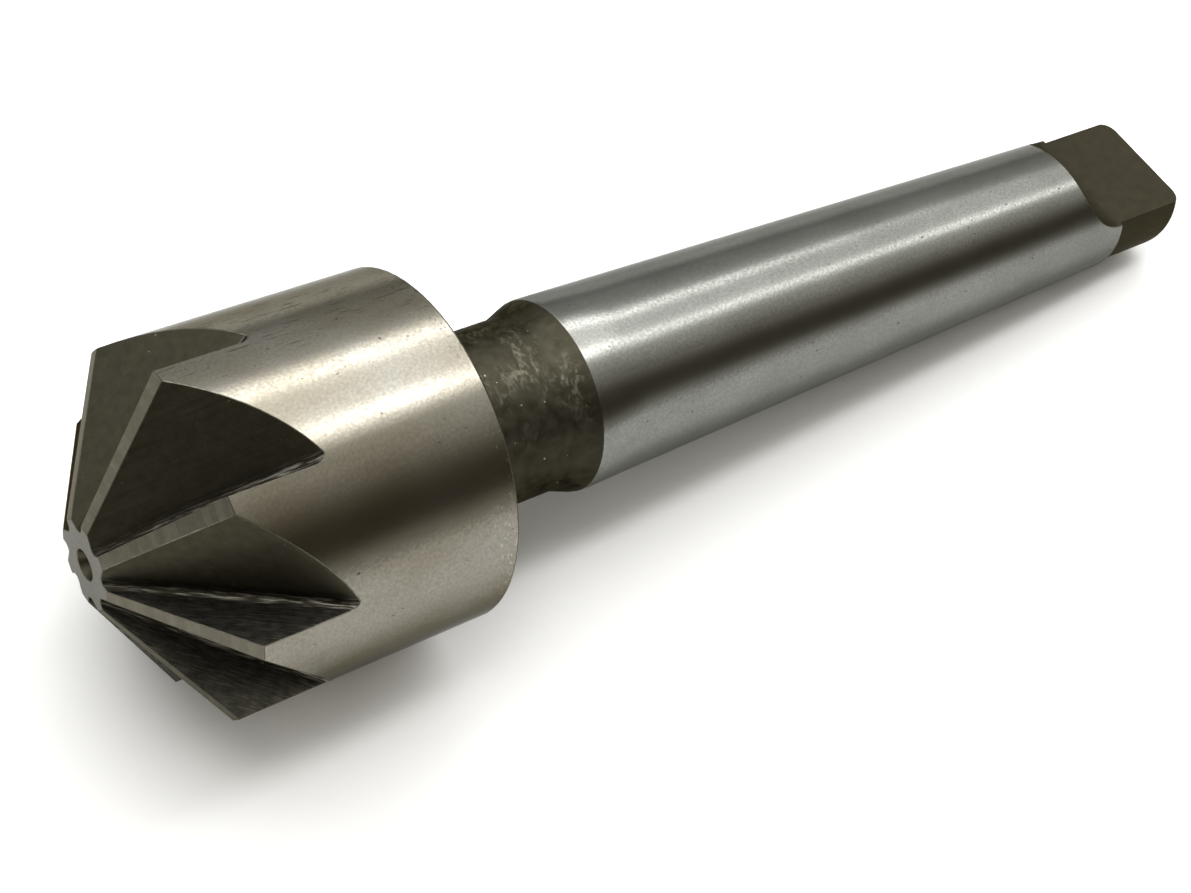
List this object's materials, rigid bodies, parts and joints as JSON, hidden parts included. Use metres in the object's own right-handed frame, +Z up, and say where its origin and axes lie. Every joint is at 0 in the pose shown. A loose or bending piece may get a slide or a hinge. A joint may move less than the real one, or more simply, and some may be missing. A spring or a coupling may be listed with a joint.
{
  "type": "countersink bit",
  "caption": "Countersink with straight flutes on a 120 degree cutting cone, a slim neck and a Morse taper shank with a tang, lying on its side.",
  "frame": {"origin": "centre of the bounding box's bottom face, on the surface that the tool lies on, under its axis", "axes": "+X along the tool from the tip to the tang, seen from above; +Z up. The axis leans 6.1 degrees down towards the tang, and the tang's flats face up and down"},
  "size_m": [0.124, 0.0315, 0.0335],
  "materials": {
    "tool_steel": "hardened high-speed steel, bright and ground on the head and the taper, dull olive brown in the flutes, on the neck and on the tang"
  },
  "bodies": {
    "root": {"countersink": "tool_steel"}
  },
  "joints": []
}
